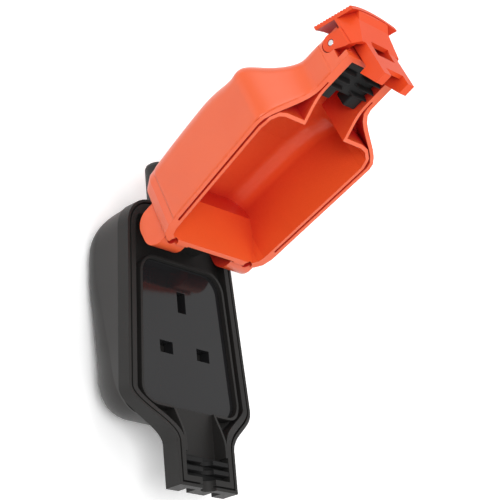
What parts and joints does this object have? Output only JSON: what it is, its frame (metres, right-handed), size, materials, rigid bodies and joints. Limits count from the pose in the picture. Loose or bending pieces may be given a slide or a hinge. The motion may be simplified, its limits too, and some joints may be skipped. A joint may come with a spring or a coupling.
{
  "type": "outdoor socket",
  "caption": "In-line weatherproof mains socket: black base with a three-pin face, hinged orange cover with a deep dome, latch lever, lead seals in the neck and a gland for the supply lead.",
  "frame": {"origin": "on the plane the back rests on, under the middle of the two line slots", "axes": "+X across the face, +Y from the lead seals' neck to the hinge, +Z out of the socket face"},
  "size_m": [0.073, 0.1754, 0.159],
  "materials": {
    "frame_black": "fine matt moulded texture",
    "face_black": "polished",
    "seal_rubber": "matt",
    "gland_black": "satin",
    "carrier_grey": "matt",
    "shutter_black": "matt",
    "cover_orange": "smooth moulded, semi-gloss",
    "latch_orange": "smooth moulded, semi-gloss",
    "pin_steel": "bright drawn",
    "spring_steel": "bright wire",
    "screw_steel": "plated",
    "contact_brass": "stamped",
    "terminal_brass": "plated"
  },
  "bodies": {
    "base": {"front_frame": "frame_black", "back_shell": "frame_black", "socket_face": "face_black", "base_cable_seal": "seal_rubber", "cable_gland": "gland_black", "contact_carrier": "carrier_grey", "hinge_pin": "pin_steel", "shutter_spring": "spring_steel", "housing_screws": "screw_steel", "cord_clamp_screws": "screw_steel", "cord_clamp": "carrier_grey", "live_contact": "contact_brass", "neutral_contact": "contact_brass", "earth_contact": "contact_brass", "live_terminal_screw": "terminal_brass", "neutral_terminal_screw": "terminal_brass", "earth_terminal_screw": "terminal_brass"},
    "lid": {"lid_shell": "cover_orange", "lid_cable_seal": "seal_rubber", "latch_pin": "pin_steel"},
    "latch": {"latch": "latch_orange"},
    "shutter": {"shutter": "shutter_black"}
  },
  "joints": [
    {"name": "lid_hinge", "type": "hinge", "parent": "base", "child": "lid", "pos_m": [0, 0.0484, 0.0439], "axis": [1, 0, 0], "range_deg": [0, 113.35]},
    {"name": "latch_pivot", "type": "hinge", "parent": "lid", "child": "latch", "pos_m": [0, 0.09765, 0.13831], "axis": [1, 0, 0], "range_deg": [-30, 0]},
    {"name": "shutter_slide", "type": "slide", "parent": "base", "child": "shutter", "axis": [0, -1, 0], "range_m": [0, 0.0065], "stiffness_N_per_m": 60, "springref_m": -0.004, "deforming": ["shutter_spring"]}
  ]
}
